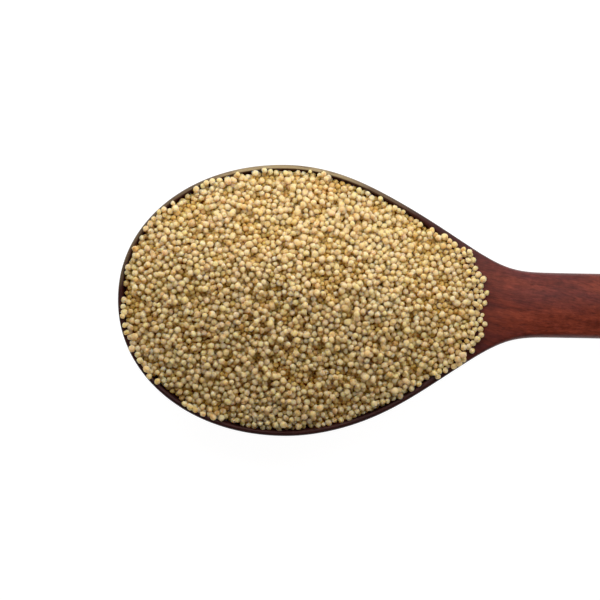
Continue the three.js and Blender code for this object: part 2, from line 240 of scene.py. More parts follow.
class SpoonForm:
    """The spoon's shape as functions of x and of y, counted from the spoon's middle line."""

    def __init__(self, sizes):
        self.s = sizes

    def neck_share(self, x):
        """0 in the bowl and 1 on the handle, eased over the neck."""
        return ease(x, NECK)

    def centre_line(self, x):
        """The middle line bows to -Y by the flank bulge, as a bell curve along x."""
        return -self.s.flank_bulge * np.exp(-(((x - FLANK_BULGE_MIDDLE) / FLANK_BULGE_REACH) ** 2))

    def half_width(self, x):
        """A superellipse in front of the widest place. Behind it, a flank that falls in a hollow curve,
        (1 - tt)^power at the share t of its length, joined softly to the handle."""
        s = self.s
        front = s.bowl_half_width * hump(x / s.bowl_front, (FRONT_POWER, FRONT_POWER))
        flank = s.bowl_half_width * (1 - np.clip(x / s.bowl_back, 0, 1) ** 2) ** FLANK_POWER
        handle = mix(s.handle_waist, s.handle_widest, ease(x, HANDLE_WIDENS)) * ease(x, HANDLE_ROOT)
        into_end = (x - (s.handle_end - HANDLE_END_ROUND)) / HANDLE_END_ROUND
        handle = handle * hump(np.maximum(0, into_end), HANDLE_END_POWERS)
        return np.where(x <= 0, front, soft_max(flank, handle, NECK_BLEND))

    def edge_drop(self, x):
        """Height of the edge's rounding, from the widest line up to the flat rim."""
        return mix(RIM_ROUND_DROP, HANDLE_ROUND_DROP, self.neck_share(x))

    def edge_line(self, x):
        """Height of the widest line: the board's top, which sinks along the handle, less the rounding."""
        return mix(self.s.rim_height, HANDLE_END_TOP, ease(x, HANDLE_FALL)) - self.edge_drop(x)

    def top_line(self, x):
        """Height of the flat rim: one rounding above the widest line, and down on it at both ends."""
        round_length = mix(RIM_ROUND, HANDLE_ROUND, self.neck_share(x)) * END_ROUND
        from_end = np.minimum(x + self.s.bowl_front, self.s.handle_end - x)
        return self.edge_line(x) + self.edge_drop(x) * quarter_round(from_end, round_length)

    def crown(self, x, y):
        """The handle's top swells between its edges as a parabola."""
        half = self.half_width(x)
        along = (x - HANDLE_CROWN_START) / (self.s.handle_end - HANDLE_CROWN_START)
        height = HANDLE_CROWN * self.neck_share(x) * hump(np.maximum(0, along), HANDLE_CROWN_POWERS)
        return height * np.clip(1 - (y / np.maximum(TINY, half)) ** 2, 0, 1) * (half > TINY)

    def underside_drop(self, x):
        """Depth of the underside below the widest line: a hump in front, and behind it a flank like the
        outline's, joined softly to the handle's."""
        s = self.s
        front = BOWL_DROP * hump(x / s.bowl_front, UNDERSIDE_POWERS)
        bowl = BOWL_DROP * (1 - np.clip(x / UNDERSIDE_BACK, 0, 1) ** 2) ** UNDERSIDE_RISE
        handle = (s.handle_thickness - HANDLE_ROUND_DROP) * ease(x, HANDLE_DEEPENS)
        handle = handle * quarter_round(s.handle_end - x, HANDLE_END_TURN)
        return np.where(x <= 0, front, soft_max(bowl, handle, UNDERSIDE_BLEND))

    def hollow_half_width(self, x, gap=0.0):
        """The outline's half width less the rim and the gap, cut off bluntly at the neck."""
        s, inset = self.s, self.s.rim_wall + gap
        front = (s.bowl_half_width - inset) * hump(x / (s.bowl_front - inset), (FRONT_POWER, FRONT_POWER))
        blunt = np.sqrt(1 - np.clip(x / (s.hollow_back - gap), 0, 1) ** HOLLOW_BACK_POWER)
        wall = inset * mix(1, RIM_WALL_BACK, ease(x, HANDLE_ROOT))
        flank = np.maximum(0, self.half_width(x) - wall) * blunt
        return np.where(x <= 0, front, flank)

    def hollow_depth_along(self, x, gap=0.0):
        """Depth on the middle line: a hump on either side of the widest place."""
        s = self.s
        length = np.where(x <= 0, s.bowl_front - s.rim_wall - gap, s.hollow_back - gap)
        return (s.hollow_depth - gap) * hump(x / length, HOLLOW_POWERS)

    def hollow_depth(self, x, y, gap=0.0):
        """The product of a hump along x and a hump across it."""
        half = self.hollow_half_width(x, gap)
        across = hump(y / np.maximum(TINY, half), HOLLOW_POWERS) * (half > TINY)
        return self.hollow_depth_along(x, gap) * across

    def top(self, x, y):
        """Height of the wood's top. hypot(depth, r) - r rounds the hollow's edge over the radius r."""
        r = mix(INNER_EDGE_ROUND, SHOULDER_ROUND, ease(x, SHOULDER))
        return self.top_line(x) + self.crown(x, y) - (np.hypot(self.hollow_depth(x, y), r) - r)


def clumps(x, y):
    """Uneven ground: sine waves in random directions, summed and scaled to a root mean square of 1."""
    random = np.random.default_rng(CLUMP_SEED)
    total = np.zeros(np.broadcast(x, y).shape)
    for way, length, start in random.uniform((0, 0, 0), (np.pi, 1, 2 * np.pi), (CLUMP_WAVES, 3)):
        wave = 2 * np.pi / mix(*CLUMP_SIZES, length)
        total += np.sin(wave * (x * np.cos(way) + y * np.sin(way)) + start)
    return total / math.sqrt(CLUMP_WAVES / 2)


class HeapForm:
    """The heap's shape in the same coordinates. sunk lowers it, with its edge, into the bowl."""

    def __init__(self, spoon, sizes, sunk=0.0):
        self.spoon, self.s, self.sunk = spoon, sizes, sunk

    def edge_depth(self, x, side):
        """The edge's depth below the rim: its depth at the tip, a sag, which is less on the +Y side (side 1)
        than on the other (side -1), and a sine wave along x. The last two die out at the ends."""
        sag = HEAP_EDGE_SAG - HEAP_EDGE_TILT * side
        sag = sag + HEAP_EDGE_WAVER * np.sin(x / HEAP_EDGE_WAVE + HEAP_EDGE_PHASE * side)
        along = hump((x - HEAP_MIDDLE) / HEAP_WAVER_REACH, HEAP_LENGTH_POWERS)
        return self.s.edge_depth + self.sunk + sag * along

    def share_at_depth(self, edge_depth, depth):
        """The inverse of the hollow's hump: how far out a hollow of this depth is as deep as the edge."""
        flatness, steepness = HOLLOW_POWERS
        return (1 - np.clip(edge_depth / np.maximum(TINY, depth), 0, 1) ** steepness) ** (1 / flatness)

    def half_width(self, x, side):
        """The hollow's half width less the gap, times the share where it is as deep as the edge."""
        depth = self.spoon.hollow_depth_along(x, self.s.gap)
        share = self.share_at_depth(self.edge_depth(x, side), depth)
        return self.spoon.hollow_half_width(x, self.s.gap) * share

    def reach(self, direction):
        """Where along X the heap ends, by the same share: in front for direction -1, at the neck for 1."""
        s, edge_depth = self.spoon.s, self.s.edge_depth + self.sunk
        length = (s.bowl_front - s.rim_wall if direction < 0 else s.hollow_back) - self.s.gap
        return direction * length * self.share_at_depth(edge_depth, s.hollow_depth - self.s.gap)

    def top(self, x, share, y):
        """Height of the heap: its edge, and over it a roof across times a hump along, with slow lumps, the
        mean of two bent sine waves, and small clumps. The powers of HEAP_BELLIES make both slopes bulge."""
        crest = mix(*HEAP_CREST_SHIFT, ease(x, HEAP_CREST))
        across = roof((share - crest) / (1 - crest * np.sign(share - crest)), HEAP_ROOF_ROUND)
        across = across ** np.where(share < crest, *HEAP_BELLIES)
        length = np.where(x < HEAP_MIDDLE, HEAP_FRONT, HEAP_BACK)
        along = hump((x - HEAP_MIDDLE) / length, HEAP_LENGTH_POWERS)
        edge = mix(self.edge_depth(x, -1), self.edge_depth(x, 1), (share + 1) / 2)
        u, v = x / HEAP_LUMP_SIZE, y / HEAP_LUMP_SIZE
        lumps = (np.sin(u + np.sin(v / 2)) + np.sin(v - u / 2)) / 2
        bump = (HEAP_LUMP * lumps + CLUMP_HEIGHT * clumps(x, y)) * (1 - share ** 4)
        return self.spoon.s.rim_height - edge + along * (self.s.height * across + bump)

    def top_at(self, x, y):
        """The same height where only x and y are known. Beyond the heap's edge it goes on level."""
        half = np.where(y < 0, self.half_width(x, -1), self.half_width(x, 1))
        return self.top(x, np.clip(y / np.maximum(TINY, half), -1, 1), y)


# ---- Meshes ----

def points_of(rings):
    """The rows of an array (stations, columns, ...) in one list, with one row each for the first and last
    ring, because these are a single point."""
    between = rings[1:-1].reshape(-1, *rings.shape[2:])
    return np.concatenate([rings[0, :1], between, rings[-1, :1]])


def skin(rings):
    """Closed surface over rings, an array (stations, columns, 3) whose first and last ring are one point.

    Quads join each ring to the next, and fans of triangles close the ends. Returns points, the faces'
    corners in one row, and the number of corners of each face.
    """
    stations, columns = rings.shape[:2]
    points = points_of(rings)
    column = np.arange(columns)
    after = (column + 1) % columns
    near = 1 + np.arange(stations - 3)[:, None] * columns
    quads = np.stack([near + column, near + after, near + columns + after, near + columns + column], -1)
    first_fan = np.stack([column * 0, 1 + after, 1 + column], -1)
    last_ring = len(points) - 1 - columns
    last_fan = np.stack([last_ring + column, last_ring + after, column * 0 + len(points) - 1], -1)
    corners = np.concatenate([first_fan.ravel(), quads.ravel(), last_fan.ravel()])
    counts = np.concatenate([np.full(columns, 3), np.full(quads.size // 4, 4), np.full(columns, 3)])
    return points, corners, counts


def add_object(name, data):
    """A new object in the scene, at the origin."""
    added = bpy.data.objects.new(name, data)
    bpy.context.scene.collection.objects.link(added)
    return added


def new_piece(name, points, corners, counts, material):
    """A smooth mesh object at the origin that rides on the part's body."""
    mesh = bpy.data.meshes.new(name)
    mesh.vertices.add(len(points))
    mesh.vertices.foreach_set("co", np.asarray(points, np.float32).ravel())
    mesh.loops.add(len(corners))
    mesh.loops.foreach_set("vertex_index", np.asarray(corners, np.int32))
    mesh.polygons.add(len(counts))
    mesh.polygons.foreach_set("loop_start", (np.cumsum(counts) - counts).astype(np.int32))
    mesh.polygons.foreach_set("use_smooth", np.ones(len(counts), bool))
    mesh.update(calc_edges=True)
    if mesh.validate():
        raise RuntimeError(f"{name} had faces that Blender had to repair")
    mesh.materials.append(material)
    piece = add_object(name, mesh)
    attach(piece, BODY)
    return piece


def colour_points(piece, name, colours):
    """Stores one linear colour for each point, which materials read by this name."""
    layer = piece.data.color_attributes.new(name, "FLOAT_COLOR", "POINT")
    opaque = np.concatenate([colours, np.ones((len(colours), 1))], 1)
    layer.data.foreach_set("color", opaque.astype(np.float32).ravel())


def number_points(piece, name, values):
    """Stores one number for each point, which materials read by this name."""
    layer = piece.data.attributes.new(name, "FLOAT", "POINT")
    layer.data.foreach_set("value", values.astype(np.float32))


# ---- Material nodes ----

def new_material(name):
    """A material, its node tree and its Principled shader."""
    material = bpy.data.materials.new(name)
    material.use_nodes = True
    return material, material.node_tree, material.node_tree.nodes["Principled BSDF"]


def feed(tree, socket, value):
    """Links a socket to another node's output, or sets it to a plain value."""
    if isinstance(value, bpy.types.NodeSocket):
        tree.links.new(value, socket)
    else:
        socket.default_value = value


def feed_inputs(tree, node, **inputs):
    """Feeds a node's inputs by name, with underscores for the spaces in a name."""
    for name, value in inputs.items():
        feed(tree, node.inputs[name.replace("_", " ")], value)


def add_node(tree, kind, settings=(), **inputs):
    """A node with its properties set from settings, and its inputs fed."""
    node = tree.nodes.new(kind)
    for name, value in dict(settings).items():
        setattr(node, name, value)
    feed_inputs(tree, node, **inputs)
    return node


def maths(tree, operation, *values, kind="ShaderNodeMath"):
    """The result of a Math node, or a Vector Math one, over plain values and other nodes' outputs."""
    node = add_node(tree, kind, {"operation": operation})
    for socket, value in zip(node.inputs, values):
        feed(tree, socket, value)
    return node.outputs[0]


def blend_colours(tree, factor, a, b, kind="MIX"):
    """Colour a blended towards b. Each is another node's output, or red, green and blue."""
    node = add_node(tree, "ShaderNodeMix", {"data_type": "RGBA", "blend_type": kind})
    feed(tree, node.inputs[0], factor)
    for socket, colour in ((node.inputs[6], a), (node.inputs[7], b)):
        feed(tree, socket, colour if isinstance(colour, bpy.types.NodeSocket) else (*colour, 1))
    return node.outputs[2]


def stepped(tree, value, low, high):
    """A smooth step of a value from 0 at low to 1 at high."""
    node = add_node(tree, "ShaderNodeMapRange", {"interpolation_type": "SMOOTHSTEP"},
                    Value=value, From_Min=low, From_Max=high)
    return node.outputs["Result"]


def read_points(tree, name):
    """The node that reads what colour_points or number_points has stored."""
    return add_node(tree, "ShaderNodeAttribute", {"attribute_name": name})


def mottle_group():
    """Node group for fine natural unevenness in spots. Puts out a value about 1, and a height."""
    if "Mottle" in bpy.data.node_groups:
        return bpy.data.node_groups["Mottle"]
    group = bpy.data.node_groups.new("Mottle", "ShaderNodeTree")
    for name, default in (("Spots per Metre", 1500.0), ("Strength", 0.2)):
        socket = group.interface.new_socket(name, in_out="INPUT", socket_type="NodeSocketFloat")
        socket.default_value = default
    group.interface.new_socket("Factor", in_out="OUTPUT", socket_type="NodeSocketFloat")
    group.interface.new_socket("Height", in_out="OUTPUT", socket_type="NodeSocketFloat")
    given = group.nodes.new("NodeGroupInput")
    place = group.nodes.new("ShaderNodeTexCoord").outputs["Object"]
    noise = add_node(group, "ShaderNodeTexNoise", Vector=place, Scale=given.outputs[0], Detail=3.0,
                     Roughness=0.6)
    spread = maths(group, "MULTIPLY", maths(group, "SUBTRACT", noise.outputs[0], 0.5), given.outputs[1])
    result = group.nodes.new("NodeGroupOutput")
    group.links.new(maths(group, "ADD", spread, 1.0), result.inputs[0])
    group.links.new(noise.outputs[0], result.inputs[1])
    return group


def add_mottle(tree, spots_per_metre, strength):
    """The mottle group in a material, with the material's own values."""
    return add_node(tree, "ShaderNodeGroup", {"node_tree": mottle_group()},
                    Spots_per_Metre=spots_per_metre, Strength=strength)


def brighten(tree, colour, factor):
    """A colour times a value."""
    grey = add_node(tree, "ShaderNodeCombineColor", Red=factor, Green=factor, Blue=factor)
    return blend_colours(tree, 1.0, colour, grey.outputs[0], "MULTIPLY")


# Wood: each pattern's length and width of a spot, detail of the noise, and a shift that keeps it apart
BANDS = (20 * MM, 3.6 * MM, 2.0, 0.0)
ZONES = (34 * MM, 7 * MM, 2.0, 7.0)
STREAKS = (9 * MM, 1.1 * MM, 3.0, 5.0)
FIBRES = (2.6 * MM, 0.42 * MM, 2.0, 9.0)
PORES = (2.6 * MM, 0.28 * MM, 0.0, 3.0)

# Wood: how the patterns lie and what they do. A pair of noise values gives where a step begins and is full.
GRAIN_TURN = (0.25, 0.05, math.radians(9))     # about X, Y and Z, the last its slant to the handle
BENDS_PER_METRE, BEND = 22.0, 6 * MM
# the last step is for the rim's pale edge: partly wear, partly a painted highlight
BAND_STEP, ZONE_STEP, PORE_STEP, WORN_SHEEN_STEP = (0.3, 0.7), (0.4, 0.68), (0.66, 0.74), (0.9, 0.45)
BOWL_SHADE_RAMP = (-66 * MM, -38 * MM)               # the bowl's painted shade begins and is full there along -X
ZONE_SHARE, PORE_SHARE, BOWL_SHADE_SHARE = 0.8, 0.3, 0.85
STREAK_LIGHT, FIBRE_LIGHT = (0.9, 0.55), (1.5, 0.25)   # the first times the noise, plus the second
WOOD_SPOTS, GLOSS_SPOTS = (700.0, 0.9), (260.0, 0.5)   # spots per metre, and how strong they are
PORE_ROUGHNESS, WOOD_ROUGHNESS = 0.2, 0.42
FIBRE_RELIEF, PORE_DEPTH = 0.35, 0.06 * MM
WEAR_AND_SHEEN = "wear_and_sheen"              # name of the points' numbers for the pale +Y edge of the rim: partly wear, partly a painted highlight


def streaks(tree, place, length, width, detail, shift):
    """Noise stretched along the grain: one spot is length long and width across."""
    stretched = add_node(tree, "ShaderNodeMapping", Vector=place, Location=(shift, shift, shift),
                         Scale=(1 / length, 1 / width, 1 / width))
    noise = add_node(tree, "ShaderNodeTexNoise", Vector=stretched.outputs[0], Scale=1.0, Detail=detail,
                     Roughness=0.55)
    return noise.outputs[0]


def wood_material(colours):
    """Dark red-brown wood under a thin varnish: bands, broad purple-brown zones, streaks, fine fibres and
    open pores. The bowl is painted darker than the handle as painted shade, and the rim's outer edge on the
    +Y side is pale, partly from wear and partly a painted highlight, less so where the streaks are strong."""
    material, tree, shader = new_material("varnished_wood")
    place = tree.nodes.new("ShaderNodeTexCoord").outputs["Object"]
    wander = add_node(tree, "ShaderNodeTexNoise", Vector=place, Scale=BENDS_PER_METRE, Detail=1.0)
    bent = maths(tree, "MULTIPLY_ADD", wander.outputs["Color"], (0, BEND, BEND), place,
                 kind="ShaderNodeVectorMath")
    along = add_node(tree, "ShaderNodeMapping", Vector=bent, Rotation=GRAIN_TURN).outputs[0]
    patterns = (BANDS, ZONES, STREAKS, FIBRES, PORES)
    bands, zones, lines, fibres, holes = [streaks(tree, along, *pattern) for pattern in patterns]
    pores = stepped(tree, holes, *PORE_STEP)

    colour = blend_colours(tree, stepped(tree, bands, *BAND_STEP), colours.wood_mid, colours.wood_light)
    dark_zones = maths(tree, "MULTIPLY", stepped(tree, zones, *ZONE_STEP), ZONE_SHARE)
    colour = blend_colours(tree, dark_zones, colour, colours.wood_dark)
    colour = brighten(tree, colour, maths(tree, "MULTIPLY_ADD", lines, *STREAK_LIGHT))
    colour = brighten(tree, colour, maths(tree, "MULTIPLY_ADD", fibres, *FIBRE_LIGHT))
    colour = brighten(tree, colour, add_mottle(tree, *WOOD_SPOTS).outputs["Factor"])
    colour = blend_colours(tree, maths(tree, "MULTIPLY", pores, PORE_SHARE), colour, colours.wood_dark)
    x = add_node(tree, "ShaderNodeSeparateXYZ", Vector=bent).outputs[0]
    # painted shade: the bowl's wood is blended towards the darker bowl colour, standing in for the shade on
    # the rim and the inner wall
    bowl = stepped(tree, maths(tree, "MULTIPLY", x, -1.0), *BOWL_SHADE_RAMP)
    colour = blend_colours(tree, maths(tree, "MULTIPLY", bowl, BOWL_SHADE_SHARE), colour, colours.bowl)
    # the rim's pale +Y edge: partly wear, partly a painted highlight
    wear_and_sheen = read_points(tree, WEAR_AND_SHEEN).outputs["Fac"]
    worn_and_sheen = maths(tree, "MULTIPLY", wear_and_sheen, stepped(tree, lines, *WORN_SHEEN_STEP))
    colour = blend_colours(tree, worn_and_sheen, colour, colours.worn_and_sheen)

    rough = maths(tree, "MULTIPLY_ADD", pores, PORE_ROUGHNESS, WOOD_ROUGHNESS)
    rough = maths(tree, "MULTIPLY", rough, add_mottle(tree, *GLOSS_SPOTS).outputs["Factor"])
    height = maths(tree, "SUBTRACT", maths(tree, "MULTIPLY", fibres, FIBRE_RELIEF), pores)
    bump = add_node(tree, "ShaderNodeBump", Height=height, Strength=0.35, Distance=PORE_DEPTH)
    feed_inputs(tree, shader, Base_Color=colour, Roughness=rough, Normal=bump.outputs[0],
                Specular_IOR_Level=0.1, Coat_Weight=0.02, Coat_Roughness=0.28)
    return material


# Millet: what the points' colours, which hold painted shade, and their nearness to the germ are called, and
# the look of a grain's skin
GRAIN_COLOUR_AND_SHADE, GERM = "grain_colour_and_shade", "germ"
GRAIN_SPOTS, GERM_STEP, GERM_SHARE = (1900.0, 0.26), (0.1, 0.9), 0.6
GERM_TINT = srgb(204, 172, 130)
SKIN_RELIEF = 0.02 * MM
SCATTER_DEPTH, SCATTER_COLOUR = 2.5 * MM, (1, 0.78, 0.42)
GRAIN_ROUGHNESS, PACKED_ROUGHNESS = 0.65, 0.8


def millet_material(name, roughness):
    """Dry millet: each grain's colour, with painted shade on deep grains and on the packed inner millet, a
    darker germ end, and fine mottling and bumps on its skin.
    """
    material, tree, shader = new_material(name)
    mottle = add_mottle(tree, *GRAIN_SPOTS)
    colour = brighten(tree, read_points(tree, GRAIN_COLOUR_AND_SHADE).outputs["Color"], mottle.outputs["Factor"])
    germ = stepped(tree, read_points(tree, GERM).outputs["Fac"], *GERM_STEP)
    colour = blend_colours(tree, maths(tree, "MULTIPLY", germ, GERM_SHARE), colour, GERM_TINT, "MULTIPLY")
    bump = add_node(tree, "ShaderNodeBump", Height=mottle.outputs["Height"], Strength=0.5,
                    Distance=SKIN_RELIEF)
    feed_inputs(tree, shader, Base_Color=colour, Roughness=roughness, Normal=bump.outputs[0],
                Specular_IOR_Level=0.2, Subsurface_Weight=1.0, Subsurface_Radius=SCATTER_COLOUR,
                Subsurface_Scale=SCATTER_DEPTH)
    return material


# ---- The spoon ----

FRONT_STATIONS, BOWL_STATIONS, SHANK_STATIONS, END_STATIONS = 64, 84, 96, 28
HOLLOW_COLUMNS, ROUND_COLUMNS, UNDERSIDE_COLUMNS = 36, 5, 34
LEAST_TOP_SHARE = 0.35             # where there is no hollow, its columns take this share of the top
WEAR_SHEEN_ENDS = (10 * MM, 26 * MM)     # the pale edge of the rim's +Y side, partly wear and partly a painted highlight, fades here, along X and -X,
WEAR_SHEEN_STOPS = (24 * MM, 38 * MM)    # and here it is gone at the neck
# how pale that edge, partly wear and partly painted highlight, is at its least along the rim and at its
# outermost column
LEAST_WEAR_SHEEN, OUTER_WEAR_SHEEN = 0.3, 0.45


def spoon_rings(form):
    """Rings across the spoon. Half a ring runs from the middle of the top to the middle of the underside.

    It holds the hollow out to its edge, crowded by a sine, the rim with a quarter circle at its outer
    edge, and the underside, which is a hump between the two edge lines, cut off flat at the table.
    """
    s = form.s
    end_start = s.handle_end - HANDLE_END_ROUND
    x = np.concatenate([
        crowded(-s.bowl_front, 0, FRONT_STATIONS, "first"),
        crowded(0, s.hollow_back, BOWL_STATIONS, "last")[1:],
        crowded(s.hollow_back, end_start, SHANK_STATIONS)[1:],
        crowded(end_start, s.handle_end, END_STATIONS, "last")[1:],
    ])[:, None]
    half = form.half_width(x)
    rounding = np.minimum(mix(RIM_ROUND, HANDLE_ROUND, form.neck_share(x)), half / 2)
    flat = half - rounding
    inner = np.maximum(form.hollow_half_width(x), flat * LEAST_TOP_SHARE)
    top_y = inner * crowded(0, 1, HOLLOW_COLUMNS, "last")
    turn = np.linspace(np.pi / 2, 0, ROUND_COLUMNS + 1)
    round_y = flat + rounding * np.cos(turn)
    round_z = mix(form.edge_line(x), form.top(x, flat), np.sin(turn))
    powers = [mix(p, q, form.neck_share(x)) for p, q in zip(UNDERSIDE_POWERS, HANDLE_POWERS)]
    cosine = np.cos(np.linspace(0, np.pi / 2, UNDERSIDE_COLUMNS + 1)[1:])
    cosine[-1] = 0
    share = cosine ** (2 / powers[0])
    under_z = form.edge_line(x) - form.underside_drop(x) * hump(share, powers)
    y = np.concatenate([top_y, round_y, half * share], 1)
    z = np.concatenate([form.top(x, top_y), round_z, np.maximum(0, under_z)], 1)
    middle = form.centre_line(x)
    y = np.concatenate([middle - y, middle + y[:, -2:0:-1]], 1)
    z = np.concatenate([z, z[:, -2:0:-1]], 1)
    # the pale edge on the rim's +Y side: partly wear, partly a painted highlight where the light from +Y
    # catches the rounding
    wear_and_sheen = np.zeros_like(y)
    edge = HOLLOW_COLUMNS + 1 + np.arange(ROUND_COLUMNS + 1)
    along = mix(1, LEAST_WEAR_SHEEN, ease(np.abs(x), WEAR_SHEEN_ENDS)) * (1 - ease(x, WEAR_SHEEN_STOPS))
    wear_and_sheen[:, -edge] = along * np.linspace(1, OUTER_WEAR_SHEEN, ROUND_COLUMNS + 1)
    return np.stack([np.broadcast_to(x, y.shape), y, z], -1), wear_and_sheen


class MILLET_OT_carve_spoon(bpy.types.Operator):
    """Carves the wooden spoon"""

    bl_idname = "millet.carve_spoon"
    bl_label = "Carve the Spoon"

    def execute(self, context):
        scene = context.scene
        rings, wear_and_sheen = spoon_rings(SpoonForm(scene.millet_spoon))
        piece = new_piece("wooden_spoon", *skin(rings), wood_material(scene.millet_colours))
        number_points(piece, WEAR_AND_SHEEN, points_of(wear_and_sheen))
        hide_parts("spoon")
        return {"FINISHED"}


# ---- Packed inner millet ----

CORE_STATIONS, CORE_COLUMNS = 230, 76
RELIEF_PITCH, RELIEF_HEIGHT = 1.45 * MM, 0.5 * MM
RELIEF_MOVE, RELIEF_RADIUS = 0.22, 0.6     # of the pitch: a ball's greatest move, and its radius
RELIEF_REPEAT = 256                        # balls after which the random moves begin again
PACKED_SHADES = (0.6, 1.4)                 # brightness of the darkest and the brightest bump


def grain_relief(x, y, random):
    """Rounded bumps like a layer of grains: over each place, the highest of the balls that reach it.

    The balls stand on a lattice of equal triangles, each moved a little at random. Returns the height
    over the balls' feet, from 0 to 1, and a random number that belongs to the highest ball.
    """
    row_pitch = RELIEF_PITCH * math.sqrt(3) / 2
    row = np.round(y / row_pitch).astype(int)
    moves = random.uniform(-RELIEF_MOVE, RELIEF_MOVE, (RELIEF_REPEAT, RELIEF_REPEAT, 2)) * RELIEF_PITCH
    shades = random.uniform(0, 1, (RELIEF_REPEAT, RELIEF_REPEAT))
    height, shade = np.zeros_like(x), np.zeros_like(x)
    for row_step in (-1, 0, 1):
        r = row + row_step
        offset = (r % 2) * RELIEF_PITCH / 2
        column = np.round((x - offset) / RELIEF_PITCH).astype(int)
        for column_step in (-1, 0, 1):
            c = column + column_step
            which = (r % RELIEF_REPEAT, c % RELIEF_REPEAT)
            move = moves[which]
            apart = np.hypot(x - offset - c * RELIEF_PITCH - move[..., 0], y - r * row_pitch - move[..., 1])
            ball = np.sqrt(np.maximum(0, 1 - (apart / (RELIEF_PITCH * RELIEF_RADIUS)) ** 2))
            shade = np.where(ball > height, shades[which], shade)
            height = np.maximum(height, ball)
    return height, shade


def core_rings(form, random):
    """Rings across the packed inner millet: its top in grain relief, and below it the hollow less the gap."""
    spoon, gap = form.spoon, form.s.gap
    turn = np.linspace(0, np.pi, CORE_STATIONS + 1)[:, None]
    x = mix(form.reach(-1), form.reach(1), (1 - np.cos(turn)) / 2)
    share = np.sin(np.linspace(-np.pi / 2, np.pi / 2, 2 * CORE_COLUMNS + 1))[None, :]
    half = np.where(share < 0, form.half_width(x, -1), form.half_width(x, 1))
    half[[0, -1]] = 0
    y = share * half
    x = np.broadcast_to(x, y.shape)
    below = spoon.s.rim_height - spoon.hollow_depth(x, y, gap)
    relief, shade = grain_relief(x, y, random)
    above = form.top(x, np.broadcast_to(share, y.shape), y) + RELIEF_HEIGHT * (relief - 0.5)
    above = np.maximum(below, above)
    above[[0, -1]] = below[[0, -1]]
    place = spoon.centre_line(x) + y
    top = np.stack([x, place, above], -1)[:, ::-1]
    bottom = np.stack([x, place, below], -1)[:, 1:-1]
    shades = np.concatenate([shade[:, ::-1], shade[:, 1:-1]], 1)
    return np.concatenate([top, bottom], 1), shades


class MILLET_OT_pack_inner_millet(bpy.types.Operator):
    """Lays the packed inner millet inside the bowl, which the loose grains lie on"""

    bl_idname = "millet.pack_inner_millet"
    bl_label = "Pack the Inner Millet"

    def execute(self, context):
        scene = context.scene
        sizes, colours = scene.millet_heap, scene.millet_colours
        form = HeapForm(SpoonForm(scene.millet_spoon), sizes, sunk=sizes.loose_depth)
        rings, shades = core_rings(form, np.random.default_rng(sizes.seed))
        material = millet_material("packed_millet", PACKED_ROUGHNESS)
        piece = new_piece("millet_inside", *skin(rings), material)
        shades = points_of(shades)[:, None]
        # painted shade: the packed inner millet takes the dark brown colour of the gaps
        colour_points(piece, GRAIN_COLOUR_AND_SHADE, np.array(colours.shade) * mix(*PACKED_SHADES, shades))
        number_points(piece, GERM, np.zeros(len(shades)))
        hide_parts("millet_heap")
        return {"FINISHED"}


# ---- Loose grains: how they lie ----

GROUND_PITCH = 0.25 * MM
GROUND_MARGIN = 3 * MM     # how far the grids go on beyond the bowl
GROUND_BACK = 66 * MM      # where along X the grids end on the neck
LAST_CELL = 1.001          # a grid is read no further out than its number of rows less this
NEIGHBOUR_CELLS = [(a, b, c) for a in (0, 1) for b in (-1, 0, 1) for c in (-1, 0, 1)
                   if (a, b, c) >= (0, 0, 0)]
EXTRA_DEPTH = 1.5          # the strewn layer is this many radii thicker than the room for centres
PAIR_REACH = 1.12          # pairs are looked for to this many times the largest diameter
STEPS_PER_SEARCH = 4
PUSHES_PER_STEP = 3
PUSH = 1.25                # over-relaxation of the pushes
FALL = 0.06 * MM           # how far a grain sinks in a step
RADIUS_LIMITS = (0.72, 1.25)
FENCE = 3                  # slope of the ground beyond the line that holds the grains in
RIM_MARGIN = 0.6 * MM      # how far that line is inside the bowl's outline
NECK_MARGINS = (1.5 * MM, 0.6 * MM)        # and inside the neck's edge on the +Y and on the -Y side,
NECK_MARGINS_START = (32 * MM, 42 * MM)    # which it changes to between these places along X

SHOWERS = 4                # the last grains fall in this many showers
ROLL_STEPS, ROLL = 30, 0.05 * MM
STEADY_SLOPE = 0.35        # the steepest slope that a grain comes to rest on
FALLEN_APART = 1.7         # of two fallen grains nearer to each other than this many radii, one goes
PROUD = 1.0                # the centre of a fallen grain is at most this many radii over the heap
LAST_PUSHES = 30           # pushes apart after the last shower
LONGEST = 1.5              # no point of a grain lies further out than this many radii

# Grains that rolled onto the neck and the rim, as x and y in millimetres
STRAYS = [(48.9, 13.2), (49.5, 11.7), (53.3, 2.8), (53.0, 0.2), (52.0, -3.0), (53.1, -5.3), (51.5, -7.3),
          (50.4, -8.7), (49.1, -11.3), (46.2, -15.4), (-5.9, 34.3), (6.2, 34.2), (9.6, 33.5), (-13.4, 32.6)]

# Grains that lean over the rim round the front: their number, how far round they go, and how far in
RIM_GRAINS, RIM_GRAINS_ROUND, RIM_GRAINS_IN = 36, math.radians(75), (1.4 * MM, 2.1 * MM)


